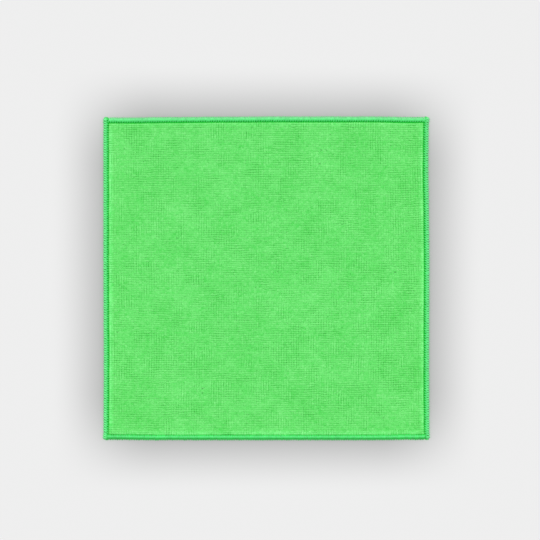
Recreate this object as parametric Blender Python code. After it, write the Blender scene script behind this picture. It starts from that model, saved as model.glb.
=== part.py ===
"""Square microfibre cloth lying flat, its four cut edges overlocked with thread.

Units are metres, +Z up. The underside lies on z = 0, with the origin at its middle.
X runs from the left edge to the right edge, Y from the bottom edge to the top edge.

The cloth is one closed solid. Its rim is pressed thin, and four thread runs wrap that
rim: the top and bottom runs are sewn first, the left and right runs go over the corners,
where their thread closes into a small ear.
"""

import math
from typing import NamedTuple

import bmesh
import bpy
from mathutils import Matrix, Vector

# Driving dimensions
WIDTH = 0.3000  # left to right, over the edging
LENGTH = 0.2975  # bottom to top, over the edging
GAP = 0.0003  # clearance between neighbouring solids
FIELD_CELLS = 30  # cells across the even middle of the cloth, each way
RUN_STEPS = 28  # straight steps along one thread run
WELD = 0.00001  # distance under which doubled points are one point

PILE_GREEN = (0.140, 0.760, 0.155, 1.0)
THREAD_GREEN = (0.130, 0.780, 0.230, 1.0)
CLOTH_ROUGHNESS = 0.9
THREAD_ROUGHNESS = 0.6


class RimRow(NamedTuple):
    """A station of the cloth's section: how far in from the outer edge, and its two faces."""

    inset: float
    under: float
    over: float


class SectionPoint(NamedTuple):
    """A corner of the edging's section: how far in from the outer edge, and how high."""

    inset: float
    height: float


class EndKnot(NamedTuple):
    """The thread that closes a side run's hollow at its end, as a block inside the walls."""

    inset_from: float
    inset_to: float
    height_from: float
    height_to: float
    recess: float


class BowPoint(NamedTuple):
    """How far a side lies inside its straight line, at a place from -1 to 1 along it."""

    along: float
    inset: float


class Swell(NamedTuple):
    """A soft rise of the pile, or a hollow where rise is below zero."""

    x: float
    y: float
    reach: float
    rise: float


CLOTH_SECTION = (
    RimRow(inset=0.00085, under=0.00085, over=0.00195),  # cut edge, inside the edging
    RimRow(inset=0.00465, under=0.00085, over=0.00195),  # just past the needle line
    RimRow(inset=0.00520, under=0.00030, over=0.00232),  # side of the groove
    RimRow(inset=0.00600, under=0.00000, over=0.00258),
    RimRow(inset=0.00760, under=0.00000, over=0.00268),  # plump roll beside the seam
    RimRow(inset=0.01100, under=0.00000, over=0.00252),
)
PILE_TOP = CLOTH_SECTION[-1].over

EDGING_SECTION = (
    SectionPoint(inset=0.00440, height=0.00000),  # inner lip of the flat lower wall
    SectionPoint(inset=0.00080, height=0.00000),
    SectionPoint(inset=0.00025, height=0.00035),
    SectionPoint(inset=0.00000, height=0.00095),  # outer side
    SectionPoint(inset=0.00000, height=0.00180),
    SectionPoint(inset=0.00025, height=0.00240),
    SectionPoint(inset=0.00090, height=0.00278),
    SectionPoint(inset=0.00210, height=0.00290),  # crown of the upper wall
    SectionPoint(inset=0.00340, height=0.00282),
    SectionPoint(inset=0.00440, height=0.00260),  # inner lip, at the needle line
    SectionPoint(inset=0.00440, height=0.00225),
    SectionPoint(inset=0.00055, height=0.00225),  # inside wall, clear of the cut edge
    SectionPoint(inset=0.00055, height=0.00055),
    SectionPoint(inset=0.00440, height=0.00055),
)
EDGING_WIDTH = max(point.inset for point in EDGING_SECTION)
END_KNOT = EndKnot(
    inset_from=0.00030,
    inset_to=0.00415,
    height_from=0.00030,
    height_to=0.00240,
    recess=0.00025,
)
KNOT_HEIGHT = END_KNOT.height_to - END_KNOT.height_from
KNOT_MIDDLE = (END_KNOT.height_to + END_KNOT.height_from) / 2

LEFT_BOW = (
    BowPoint(along=-1.00, inset=0.0000),
    BowPoint(along=-0.83, inset=0.0002),
    BowPoint(along=-0.56, inset=0.0004),
    BowPoint(along=-0.21, inset=0.0002),
    BowPoint(along=0.16, inset=0.0000),
    BowPoint(along=0.95, inset=0.0000),
    BowPoint(along=1.00, inset=0.0003),
)
RIGHT_BOW = (
    BowPoint(along=-1.00, inset=0.0000),
    BowPoint(along=-0.58, inset=0.0002),
    BowPoint(along=0.11, inset=0.0000),
    BowPoint(along=0.40, inset=0.0004),
    BowPoint(along=0.68, inset=0.0009),
    BowPoint(along=0.95, inset=0.0006),
    BowPoint(along=1.00, inset=0.0003),
)
TOP_BOW = (
    BowPoint(along=-1.00, inset=0.0010),
    BowPoint(along=-0.80, inset=0.0010),
    BowPoint(along=-0.60, inset=0.0006),
    BowPoint(along=-0.21, inset=0.0002),
    BowPoint(along=0.08, inset=0.0000),
    BowPoint(along=0.67, inset=0.0000),
    BowPoint(along=0.87, inset=0.0006),
    BowPoint(along=1.00, inset=0.0005),
)
BOTTOM_BOW = (
    BowPoint(along=-1.00, inset=0.0004),
    BowPoint(along=-0.90, inset=0.0003),
    BowPoint(along=-0.68, inset=0.0000),
    BowPoint(along=0.70, inset=0.0000),
    BowPoint(along=0.87, inset=0.0004),
    BowPoint(along=1.00, inset=0.0004),
)

SWELLS = (
    Swell(x=-0.009, y=0.118, reach=0.030, rise=-0.00012),
    Swell(x=0.102, y=0.097, reach=0.034, rise=0.00011),
    Swell(x=-0.070, y=0.030, reach=0.036, rise=0.00012),
    Swell(x=0.052, y=0.026, reach=0.026, rise=-0.00010),
    Swell(x=0.086, y=0.030, reach=0.028, rise=0.00012),
    Swell(x=-0.123, y=-0.054, reach=0.026, rise=-0.00010),
    Swell(x=-0.094, y=-0.064, reach=0.038, rise=0.00012),
    Swell(x=-0.018, y=-0.066, reach=0.034, rise=-0.00012),
    Swell(x=0.083, y=-0.047, reach=0.030, rise=0.00010),
    Swell(x=0.098, y=-0.112, reach=0.034, rise=-0.00014),
)


def clear_scene() -> None:
    """Remove every object, so that the scene holds the cloth alone."""
    for obj in list(bpy.data.objects):
        bpy.data.objects.remove(obj, do_unlink=True)


def new_collection(name: str) -> bpy.types.Collection:
    """Make a collection in the scene."""
    collection = bpy.data.collections.new(name)
    bpy.context.scene.collection.children.link(collection)
    return collection


def fabric_material(name: str, colour: tuple, roughness: float) -> bpy.types.Material:
    """A matt textile surface of one colour."""
    material = bpy.data.materials.new(name)
    material.use_nodes = True
    shader = material.node_tree.nodes["Principled BSDF"]
    shader.inputs["Base Color"].default_value = colour
    shader.inputs["Roughness"].default_value = roughness
    shader.inputs["Metallic"].default_value = 0.0
    material.diffuse_color = colour
    return material


def bow_at(bow: tuple, along: float) -> float:
    """Inset of a side at a place along it, eased between the rows of its table."""
    if along <= bow[0].along:
        return bow[0].inset
    for start, end in zip(bow, bow[1:]):
        if along <= end.along:
            share = (along - start.along) / (end.along - start.along)
            eased = 0.5 - 0.5 * math.cos(math.pi * share)
            return start.inset + (end.inset - start.inset) * eased
    return bow[-1].inset


def left_edge(y: float) -> float:
    """X of the left side's outer edge."""
    return -WIDTH / 2 + bow_at(LEFT_BOW, 2 * y / LENGTH)


def right_edge(y: float) -> float:
    """X of the right side's outer edge."""
    return WIDTH / 2 - bow_at(RIGHT_BOW, 2 * y / LENGTH)


def bottom_edge(x: float) -> float:
    """Y of the bottom side's outer edge."""
    return -LENGTH / 2 + bow_at(BOTTOM_BOW, 2 * x / WIDTH)


def top_edge(x: float) -> float:
    """Y of the top side's outer edge."""
    return LENGTH / 2 - bow_at(TOP_BOW, 2 * x / WIDTH)


def swell_height(x: float, y: float) -> float:
    """Sum of the soft rises and hollows of the pile at a point."""
    height = 0.0
    for swell in SWELLS:
        away = math.hypot(x - swell.x, y - swell.y) / swell.reach
        height += swell.rise * math.exp(-away * away)
    return height


def grid_stations(extent: float) -> list:
    """Distances from one edge of the cloth to the other at which the grid has lines."""
    rim = [row.inset for row in CLOTH_SECTION]
    first = rim[-1]
    step = (extent - 2 * first) / FIELD_CELLS
    field = [first + step * index for index in range(1, FIELD_CELLS)]
    return rim + field + [extent - inset for inset in reversed(rim)]


def section_row(index: int, count: int) -> RimRow:
    """Row of the cloth's section at a grid line, counted from the nearer edge."""
    from_edge = min(index, count - 1 - index)
    return CLOTH_SECTION[min(from_edge, len(CLOTH_SECTION) - 1)]


def cloth_point(column: int, line: int, across: list, along: list) -> tuple:
    """Place of a grid point: x, y, and the heights of the under and upper face there."""
    x_flat = across[column] - WIDTH / 2
    y_flat = along[line] - LENGTH / 2
    x_share = across[column] / WIDTH
    y_share = along[line] / LENGTH
    x = left_edge(y_flat) * (1 - x_share) + right_edge(y_flat) * x_share
    y = bottom_edge(x_flat) * (1 - y_share) + top_edge(x_flat) * y_share
    side_row = section_row(column, len(across))
    end_row = section_row(line, len(along))
    under = max(side_row.under, end_row.under)
    over = min(side_row.over, end_row.over)
    if over == PILE_TOP:
        over += swell_height(x, y)
    return x, y, under, over


def build_cloth(material: bpy.types.Material, collection: bpy.types.Collection) -> None:
    """The cloth: a flat grid, extruded to a slab, set to the rim's section and the swells."""
    across = grid_stations(WIDTH)
    along = grid_stations(LENGTH)
    sheet = bmesh.new()
    bmesh.ops.create_grid(
        sheet, x_segments=len(across) - 1, y_segments=len(along) - 1, size=0.5
    )
    raised = bmesh.ops.extrude_face_region(sheet, geom=list(sheet.faces))
    upper = {item for item in raised["geom"] if isinstance(item, bmesh.types.BMVert)}
    for vert in sheet.verts:
        column = round((vert.co.x + 0.5) * (len(across) - 1))
        line = round((vert.co.y + 0.5) * (len(along) - 1))
        x, y, under, over = cloth_point(column, line, across, along)
        vert.co = (x, y, over if vert in upper else under)
    bmesh.ops.recalc_face_normals(sheet, faces=list(sheet.faces))
    mesh = bpy.data.meshes.new("cloth")
    sheet.to_mesh(mesh)
    sheet.free()
    mesh.shade_smooth()
    mesh.materials.append(material)
    collection.objects.link(bpy.data.objects.new("cloth", mesh))


def curve_object(name: str, points: list, closed: bool) -> bpy.types.Object:
    """A curve of straight steps through points."""
    curve = bpy.data.curves.new(name, "CURVE")
    curve.dimensions = "3D"
    curve.twist_mode = "Z_UP"
    spline = curve.splines.new("POLY")
    spline.points.add(len(points) - 1)
    for target, point in zip(spline.points, points):
        target.co = (*point, 1.0)
    spline.use_cyclic_u = closed
    return bpy.data.objects.new(name, curve)


def keep_as_guide(obj: bpy.types.Object, guides: bpy.types.Collection) -> None:
    """Link an object that shapes others and is no part of the cloth itself."""
    obj.hide_render = True
    obj.display_type = "WIRE"
    guides.objects.link(obj)


def edging_profile(guides: bpy.types.Collection) -> bpy.types.Object:
    """The edging's section as a closed outline, its origin at the outer edge on z = 0."""
    outline = [(point.inset, point.height, 0.0) for point in EDGING_SECTION]
    profile = curve_object("edging_section", outline, closed=True)
    keep_as_guide(profile, guides)
    return profile


def build_run(
    name: str,
    path: list,
    profile: bpy.types.Object,
    material: bpy.types.Material,
    collection: bpy.types.Collection,
) -> bpy.types.Object:
    """One thread run: the edging's section swept along a path, as a closed mesh.

    The path keeps the cloth on its right, so that the section's open side faces the cloth.
    """
    sweep = curve_object(name + "_path", path, closed=False)
    sweep.data.bevel_mode = "OBJECT"
    sweep.data.bevel_object = profile
    sweep.data.use_fill_caps = True
    collection.objects.link(sweep)
    graph = bpy.context.evaluated_depsgraph_get()
    mesh = bpy.data.meshes.new_from_object(sweep.evaluated_get(graph))
    run = bmesh.new()
    run.from_mesh(mesh)
    bmesh.ops.remove_doubles(run, verts=list(run.verts), dist=WELD)
    bmesh.ops.recalc_face_normals(run, faces=list(run.faces))
    run.to_mesh(mesh)
    run.free()
    mesh.materials.clear()
    mesh.materials.append(material)
    obj = bpy.data.objects.new(name, mesh)
    obj.matrix_world = sweep.matrix_world
    collection.objects.link(obj)
    bpy.data.objects.remove(sweep, do_unlink=True)
    return obj


def close_end(
    run: bpy.types.Object,
    edge_x: float,
    cut_y: float,
    guides: bpy.types.Collection,
) -> None:
    """Join a knot block to a side run, between the cloth's cut corner and the run's end.

    edge_x is the run's outer edge at that end, and cut_y is where the cloth is cut.
    """
    inward = -math.copysign(1.0, edge_x)
    outward = math.copysign(1.0, cut_y)
    x_from = edge_x + inward * END_KNOT.inset_from
    x_to = edge_x + inward * END_KNOT.inset_to
    y_from = cut_y + outward * GAP
    y_to = outward * (LENGTH / 2 - END_KNOT.recess)
    size = Vector((abs(x_to - x_from), abs(y_to - y_from), KNOT_HEIGHT))
    centre = Vector((x_from + x_to, y_from + y_to, KNOT_MIDDLE * 2)) / 2
    place = Matrix.Translation(centre) @ Matrix.Diagonal((*size, 1.0))
    block = bmesh.new()
    bmesh.ops.create_cube(block, size=1.0, matrix=place)
    mesh = bpy.data.meshes.new("end_knot")
    block.to_mesh(mesh)
    block.free()
    knot = bpy.data.objects.new("end_knot", mesh)
    keep_as_guide(knot, guides)
    join = run.modifiers.new("end_knot", "BOOLEAN")
    join.operation = "UNION"
    join.object = knot


def stepped(start: float, end: float) -> list:
    """Evenly spaced values from start to end."""
    return [start + (end - start) * step / RUN_STEPS for step in range(RUN_STEPS + 1)]


def build_edging(
    material: bpy.types.Material,
    collection: bpy.types.Collection,
    guides: bpy.types.Collection,
) -> None:
    """The four thread runs: full length at the sides, between them at top and bottom."""
    profile = edging_profile(guides)
    half = LENGTH / 2
    upward = stepped(-half, half)
    left = [(left_edge(y), y, 0.0) for y in upward]
    right = [(right_edge(y), y, 0.0) for y in reversed(upward)]
    left_run = build_run("edging_left", left, profile, material, collection)
    right_run = build_run("edging_right", right, profile, material, collection)
    cut = CLOTH_SECTION[0].inset
    for run, edge in ((left_run, left_edge), (right_run, right_edge)):
        for end_y, end_edge, inward in ((-half, bottom_edge, 1), (half, top_edge, -1)):
            edge_x = edge(end_y)
            close_end(run, edge_x, end_edge(edge_x) + inward * cut, guides)

    clear = EDGING_WIDTH + GAP
    bottom_span = stepped(left_edge(-half) + clear, right_edge(-half) - clear)
    top_span = stepped(left_edge(half) + clear, right_edge(half) - clear)
    bottom = [(x, bottom_edge(x), 0.0) for x in reversed(bottom_span)]
    top = [(x, top_edge(x), 0.0) for x in top_span]
    build_run("edging_bottom", bottom, profile, material, collection)
    build_run("edging_top", top, profile, material, collection)


def main() -> None:
    """Build the cloth and its edging."""
    clear_scene()
    collection = new_collection("microfibre_cloth")
    guides = new_collection("guides")
    pile = fabric_material("pile_knit", PILE_GREEN, CLOTH_ROUGHNESS)
    thread = fabric_material("edging_thread", THREAD_GREEN, THREAD_ROUGHNESS)
    build_cloth(pile, collection)
    build_edging(thread, collection, guides)


main()
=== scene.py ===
"""The looks of a square microfibre cloth that lies flat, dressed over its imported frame.

Units are metres, +Z up. The underside lies on z = 0, with the origin at its middle.
X runs from the left edge to the right edge, Y from the bottom edge to the top edge.

The ground knit is one thin closed sheet. Rows of looped pile stand on it, in bands, and
three threads are overlocked round each of its four cut edges.
"""

import logging
import math
from dataclasses import dataclass, field
from enum import Enum
from functools import partial
from typing import NamedTuple

import bpy
import numpy as np
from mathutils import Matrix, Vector


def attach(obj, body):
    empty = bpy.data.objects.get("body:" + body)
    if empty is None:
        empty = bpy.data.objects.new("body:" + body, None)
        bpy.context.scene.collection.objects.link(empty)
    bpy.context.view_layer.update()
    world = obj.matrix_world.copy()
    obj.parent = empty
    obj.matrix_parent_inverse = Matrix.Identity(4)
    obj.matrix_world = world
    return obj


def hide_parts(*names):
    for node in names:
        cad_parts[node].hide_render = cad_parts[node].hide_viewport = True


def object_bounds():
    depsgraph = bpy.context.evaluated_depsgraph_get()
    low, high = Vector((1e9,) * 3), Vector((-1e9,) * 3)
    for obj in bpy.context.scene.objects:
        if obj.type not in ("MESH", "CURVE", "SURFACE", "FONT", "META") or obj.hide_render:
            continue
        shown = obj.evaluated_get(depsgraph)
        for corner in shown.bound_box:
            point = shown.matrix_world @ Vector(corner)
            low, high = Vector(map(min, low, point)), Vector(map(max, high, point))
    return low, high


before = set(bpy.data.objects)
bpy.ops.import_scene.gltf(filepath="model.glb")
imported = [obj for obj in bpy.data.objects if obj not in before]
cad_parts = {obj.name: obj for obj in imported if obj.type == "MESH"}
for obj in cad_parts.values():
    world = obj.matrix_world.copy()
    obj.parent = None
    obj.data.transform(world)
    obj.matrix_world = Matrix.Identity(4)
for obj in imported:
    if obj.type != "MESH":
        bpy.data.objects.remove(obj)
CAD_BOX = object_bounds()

MM = 0.001
TINY = 0.001 * MM  # shorter than anything on the cloth
PICTURE_SIDE = 540  # pixels along each side of the picture
BAKE_MAP = "OFBake"  # the flat map on which the textures of fine pieces are laid out
THREAD_SEED = 31  # seed of the first edge's threads, and each further edge has the next one
log = logging.getLogger("microfibre_cloth")


class Slot(Enum):
    """The record's material slots."""

    PILE = "pile_knit"
    THREAD = "edging_thread"


class Side(Enum):
    """The four edges of the cloth, each named for the node that wraps it."""

    TOP = "edging_top"
    BOTTOM = "edging_bottom"
    LEFT = "edging_left"
    RIGHT = "edging_right"

    @property
    def upright(self) -> bool:
        """Whether the edge runs along Y."""
        return self in (Side.LEFT, Side.RIGHT)

    @property
    def inward(self) -> float:
        """Sign of the step from the edge towards the middle of the cloth."""
        return 1.0 if self in (Side.LEFT, Side.BOTTOM) else -1.0

    @property
    def sewn(self) -> float:
        """Sign of the step along the edge in which its stitches were made."""
        return 1.0 if self in (Side.RIGHT, Side.BOTTOM) else -1.0


class Thread(Enum):
    """The three threads of the overlock."""

    UPPER_LOOPER = "upper_looper"
    LOWER_LOOPER = "lower_looper"
    NEEDLE = "needle"


class GroundStation(NamedTuple):
    """A station of the ground's section: how far in from the edge, and its two faces."""

    inset: float
    under: float
    over: float


class Swell(NamedTuple):
    """A soft rise of the cloth, or a hollow where rise is below zero."""

    x: float
    y: float
    reach: float
    rise: float


class Crease(NamedTuple):
    """A soft ridge along a bent line of points, or a trough where rise is below zero."""

    points: tuple
    reach: float
    rise: float


class StitchPoint(NamedTuple):
    """A point of a thread within one stitch, lengths in millimetres.

    advance is the share of the stitch's length, inset is how far in from the edge.
    """

    advance: float
    inset: float
    height: float
    radius: float


class Plot(NamedTuple):
    """A thread's part of the bake's map, from start to end across it, in a number of strips."""

    start: float
    end: float
    strips: int


class Fade(NamedTuple):
    """A share that goes evenly from one value to another over a stretch of places."""

    start: float
    end: float
    first: float = 1.0
    last: float = 0.0

    def at(self, places: np.ndarray) -> np.ndarray:
        """The share at some places, which stays the same before the stretch and after it."""
        return np.interp(places, (self.start, self.end), (self.first, self.last))


class Pattern(NamedTuple):
    """A noise in a finish: its waves to a unit, its finer layers, and the tones it gives."""

    waves: float
    detail: float
    darkest: float
    lightest: float


class TuftLie(NamedTuple):
    """How some tufts lie, each value an array with a number for each tuft."""

    turn: np.ndarray
    sizes: tuple
    tilts: tuple
    shifts: tuple
    lift: np.ndarray


# ---------------------------------------------------------------- modelling helpers


def deselect_all() -> None:
    """Leave no object selected."""
    bpy.ops.object.select_all(action="DESELECT")


def take_up(*objects: bpy.types.Object) -> None:
    """Select these objects alone and make the first one active.

    Args:
        objects: the objects to select.
    """
    deselect_all()
    for obj in objects:
        obj.select_set(True)
    bpy.context.view_layer.objects.active = objects[0]


def vertex_places(obj: bpy.types.Object) -> np.ndarray:
    """Places of an object's vertices.

    Args:
        obj: a mesh object.

    Returns:
        An array with a row of x, y and z for each vertex.
    """
    places = np.empty(len(obj.data.vertices) * 3, np.float32)
    obj.data.vertices.foreach_get("co", places)
    return places.reshape(-1, 3).astype(float)


def move_vertices(obj: bpy.types.Object, places: np.ndarray) -> None:
    """Put an object's vertices at new places.

    Args:
        obj: a mesh object.
        places: an array with a row of x, y and z for each vertex.
    """
    obj.data.vertices.foreach_set("co", places.astype(np.float32).ravel())
    obj.data.update()


def keep_measures(obj: bpy.types.Object, **measures: np.ndarray) -> None:
    """Store numbers for each vertex, for the material to read.

    Args:
        obj: a mesh object.
        measures: one number for each vertex, by the attribute's name.
    """
    for name, values in measures.items():
        layer = obj.data.attributes.new(name, "FLOAT", "POINT")
        layer.data.foreach_set("value", values.astype(np.float32).ravel())


def map_places(obj: bpy.types.Object) -> np.ndarray:
    """Places on a mesh's first flat map.

    Args:
        obj: a mesh object.

    Returns:
        An array with a row of two numbers for each corner of each face.
    """
    layer = obj.data.uv_layers[0]
    places = np.empty(len(layer.data) * 2, np.float32)
    layer.data.foreach_get("uv", places)
    return places.reshape(-1, 2).astype(float)


def keep_map(obj: bpy.types.Object, name: str, places: np.ndarray) -> None:
    """Store places on a flat map, which is added where the mesh has none of that name.

    Args:
        obj: a mesh object.
        name: the map's name.
        places: an array with a row of two numbers for each corner of each face.
    """
    layers = obj.data.uv_layers
    layer = layers.get(name) or layers.new(name=name)
    layer.data.foreach_set("uv", places.astype(np.float32).ravel())


def repeat(obj: bpy.types.Object, count: int, step: Vector) -> None:
    """Repeat an object's mesh in a line and apply the copies.

    Args:
        obj: the object to repeat.
        count: how many there are, the first included.
        step: the way from one to the next.
    """
    array = obj.modifiers.new("repeat", "ARRAY")
    array.count = count
    array.use_relative_offset = False
    array.use_constant_offset = True
    array.constant_offset_displace = step
    take_up(obj)
    bpy.ops.object.modifier_apply(modifier=array.name)


def dress(obj: bpy.types.Object, material: bpy.types.Material) -> None:
    """Give a piece its material and its body.

    Args:
        obj: the piece.
        material: its finish.
    """
    obj.data.materials.clear()
    obj.data.materials.append(material)
    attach(obj, "root")


def report_piece(obj: bpy.types.Object) -> None:
    """Say how large a piece has become.

    Args:
        obj: the piece.
    """
    obj.data.calc_loop_triangles()
    log.info("%s: %d triangles", obj.name, len(obj.data.loop_triangles))


@dataclass(frozen=True)
class SoftNoise:
    """Smooth seeded unevenness over the plane, from -1 to 1."""

    seed: int
    wave_x: float
    wave_y: float

    LATTICE = 64

    def at(self, x: np.ndarray, y: np.ndarray) -> np.ndarray:
        """The unevenness at some places.

        Args:
            x: x of each place.
            y: y of each place.

        Returns:
            A number from -1 to 1 for each place.
        """
        lattice = np.random.default_rng(self.seed).uniform(
            -1.0, 1.0, (self.LATTICE, self.LATTICE)
        )
        across = np.asarray(x) / self.wave_x
        along = np.asarray(y) / self.wave_y
        column, line = np.floor(across), np.floor(along)
        share_x = 0.5 - 0.5 * np.cos(np.pi * (across - column))
        share_y = 0.5 - 0.5 * np.cos(np.pi * (along - line))
        column = column.astype(int) % self.LATTICE
        line = line.astype(int) % self.LATTICE
        next_column = (column + 1) % self.LATTICE
        next_line = (line + 1) % self.LATTICE
        low = lattice[line, column] * (1 - share_x) + lattice[line, next_column] * share_x
        high = (
            lattice[next_line, column] * (1 - share_x)
            + lattice[next_line, next_column] * share_x
        )
        return low * (1 - share_y) + high * share_y


# ---------------------------------------------------------------- the cloth's outline


@dataclass
class EdgeLine:
    """The outer edge of one side, as the frame's edging node has it."""

    side: Side
    outer_height: float = 0.95 * MM
    margin: float = 0.02 * MM
    along: np.ndarray = field(init=False)
    across: np.ndarray = field(init=False)

    def __post_init__(self) -> None:
        """Read the node's outermost points, one for each of its steps."""
        places = vertex_places(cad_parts[self.side.value])
        outer = places[np.abs(places[:, 2] - self.outer_height) < self.margin]
        along, across = (1, 0) if self.side.upright else (0, 1)
        order = np.argsort(outer[:, along])
        steps = outer[order]
        fresh = np.diff(steps[:, along], prepend=-1.0) > self.margin
        self.along = steps[fresh, along]
        self.across = steps[fresh, across]

    @property
    def ends(self) -> tuple:
        """Where the run begins and ends, along the edge."""
        return float(self.along.min()), float(self.along.max())

    def edge(self, along: np.ndarray) -> np.ndarray:
        """Where the outer edge lies at places along it."""
        return np.interp(along, self.along, self.across)

    def place(self, along: np.ndarray, inset: np.ndarray) -> tuple:
        """X and y of places given along the edge and in from it.

        Args:
            along: distances along the edge, from the middle of the cloth.
            inset: distances from the outer edge towards the middle.

        Returns:
            The x and the y of the places.
        """
        across = self.edge(along) + self.side.inward * inset
        return (across, along) if self.side.upright else (along, across)


@dataclass
class Outline:
    """The four edges together, and how a flat place on the cloth falls between them."""

    lines: dict = field(init=False)
    half_width: float = field(init=False)
    half_length: float = field(init=False)

    def __post_init__(self) -> None:
        """Read the four edges from the frame."""
        self.lines = {side: EdgeLine(side) for side in Side}
        self.half_width = float(self.lines[Side.RIGHT].across.max())
        self.half_length = float(self.lines[Side.TOP].across.max())

    def warp(self, x: np.ndarray, y: np.ndarray) -> tuple:
        """Carry places on a true rectangle to the cloth's uneven outline.

        Args:
            x: x on the rectangle.
            y: y on the rectangle.

        Returns:
            The x and the y on the cloth.
        """
        share_x = (x + self.half_width) / (2 * self.half_width)
        share_y = (y + self.half_length) / (2 * self.half_length)
        left, right = self.lines[Side.LEFT], self.lines[Side.RIGHT]
        bottom, top = self.lines[Side.BOTTOM], self.lines[Side.TOP]
        warped_x = left.edge(y) * (1 - share_x) + right.edge(y) * share_x
        warped_y = bottom.edge(x) * (1 - share_y) + top.edge(x) * share_y
        return warped_x, warped_y

    def inset(self, x: np.ndarray, y: np.ndarray) -> np.ndarray:
        """How far places on the rectangle lie in from its nearest edge."""
        return np.minimum(self.half_width - np.abs(x), self.half_length - np.abs(y))


@dataclass
class Surface:
    """The height of the ground knit, on which the pile stands."""

    stations: tuple = (
        GroundStation(inset=0.85 * MM, under=1.05 * MM, over=1.35 * MM),
        GroundStation(inset=2.80 * MM, under=0.90 * MM, over=1.50 * MM),
        GroundStation(inset=3.70 * MM, under=0.80 * MM, over=1.40 * MM),
        GroundStation(inset=4.60 * MM, under=0.70 * MM, over=1.35 * MM),
        GroundStation(inset=5.20 * MM, under=0.40 * MM, over=1.55 * MM),
        GroundStation(inset=5.80 * MM, under=0.10 * MM, over=2.00 * MM),
        GroundStation(inset=6.60 * MM, under=0.00 * MM, over=2.22 * MM),
        GroundStation(inset=7.80 * MM, under=0.00 * MM, over=2.22 * MM),
        GroundStation(inset=9.20 * MM, under=0.00 * MM, over=2.12 * MM),
        GroundStation(inset=11.00 * MM, under=0.00 * MM, over=2.06 * MM),
    )
    swells: tuple = (
        Swell(x=-0.009, y=0.118, reach=0.030, rise=-0.00012),
        Swell(x=0.102, y=0.097, reach=0.034, rise=0.00011),
        Swell(x=-0.070, y=0.030, reach=0.036, rise=0.00012),
        Swell(x=0.052, y=0.026, reach=0.026, rise=-0.00010),
        Swell(x=0.086, y=0.030, reach=0.028, rise=0.00012),
        Swell(x=-0.123, y=-0.054, reach=0.026, rise=-0.00010),
        Swell(x=-0.094, y=-0.064, reach=0.038, rise=0.00012),
        Swell(x=-0.018, y=-0.066, reach=0.034, rise=-0.00012),
        Swell(x=0.083, y=-0.047, reach=0.030, rise=0.00010),
        Swell(x=0.098, y=-0.112, reach=0.034, rise=-0.00014),
    )
    creases: tuple = (
        Crease(
            points=((-0.0886, 0.0720), (-0.0610, 0.0601), (-0.0491, 0.0399), (-0.0031, 0.0380)),
            reach=0.0034,
            rise=0.00016,
        ),
        Crease(points=((0.0097, -0.0033), (0.0887, -0.0015)), reach=0.0036, rise=0.00015),
        Crease(
            points=((-0.1437, -0.0750), (-0.0886, -0.1145), (-0.0546, -0.1273)),
            reach=0.0040,
            rise=0.00016,
        ),
        Crease(points=((0.0520, -0.1117), (0.0768, -0.1420)), reach=0.0034, rise=0.00013),
        Crease(points=((-0.1281, -0.0474), (-0.1042, -0.0355)), reach=0.0032, rise=0.00012),
    )

    GROOVE_STATION = 4  # the station at which the groove beside the edging ends
    # painted shade in the groove beside the edging and under the threads: insets, and its share at each
    GROOVE_SHADE_INSETS = (1.5, 3.4, 5.2, 5.7)  # millimetres in from the edge
    GROOVE_SHADE_SHARES = (0.5, 1.0, 1.0, 0.0)
    TURNED_INSETS = (0.85 * MM, 2.8 * MM, 3.7 * MM)  # in from the bottom edge, turned down
    TURNED_ROOF = (0.62 * MM, 1.70 * MM, 9.0 * MM)

    @property
    def groove(self) -> float:
        """How far in from the edge the groove beside the edging ends."""
        return self.stations[self.GROOVE_STATION].inset

    def under(self, inset: np.ndarray) -> np.ndarray:
        """Height of the underside at distances from the edge."""
        return self._station(inset, "under")

    def pressed(self, inset: np.ndarray) -> np.ndarray:
        """Painted shade on the knit under the threads, most of all in the groove."""
        return np.interp(inset / MM, self.GROOVE_SHADE_INSETS, self.GROOVE_SHADE_SHARES)

    def _station(self, inset: np.ndarray, face: str) -> np.ndarray:
        """Height of one face at distances from the edge.

        Args:
            inset: distances from the nearest edge.
            face: the field of the stations to read.

        Returns:
            The face's heights.
        """
        insets = [station.inset for station in self.stations]
        heights = [getattr(station, face) for station in self.stations]
        return np.interp(inset, insets, heights)

    def over(self, x: np.ndarray, y: np.ndarray, inset: np.ndarray) -> np.ndarray:
        """Height of the upper face.

        Args:
            x: x of each place.
            y: y of each place.
            inset: distance of each place from the nearest edge.

        Returns:
            The heights, with the swells and creases inside the rim.
        """
        relief = sum(self._swell(swell, x, y) for swell in self.swells)
        relief = relief + sum(self._crease(crease, x, y) for crease in self.creases)
        field_start = self.stations[-1].inset
        share = np.clip((inset - self.groove) / (field_start - self.groove), 0.0, 1.0)
        return self._station(inset, "over") + relief * share

    @staticmethod
    def _swell(swell: Swell, x: np.ndarray, y: np.ndarray) -> np.ndarray:
        """Height that one swell adds."""
        away = np.hypot(x - swell.x, y - swell.y) / swell.reach
        return swell.rise * np.exp(-away * away)

    @staticmethod
    def _crease(crease: Crease, x: np.ndarray, y: np.ndarray) -> np.ndarray:
        """Height that one crease adds, dying out past its ends.

        Args:
            crease: the crease.
            x: x of each place.
            y: y of each place.

        Returns:
            The added heights.
        """
        nearest = np.full(np.shape(x), np.inf)
        for start, end in zip(crease.points, crease.points[1:]):
            run = np.subtract(end, start)
            share = ((x - start[0]) * run[0] + (y - start[1]) * run[1]) / np.dot(run, run)
            share = np.clip(share, 0.0, 1.0)
            away = np.hypot(x - start[0] - share * run[0], y - start[1] - share * run[1])
            nearest = np.minimum(nearest, away)
        return crease.rise * np.exp(-((nearest / crease.reach) ** 2))


# ---------------------------------------------------------------- finishes


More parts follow.
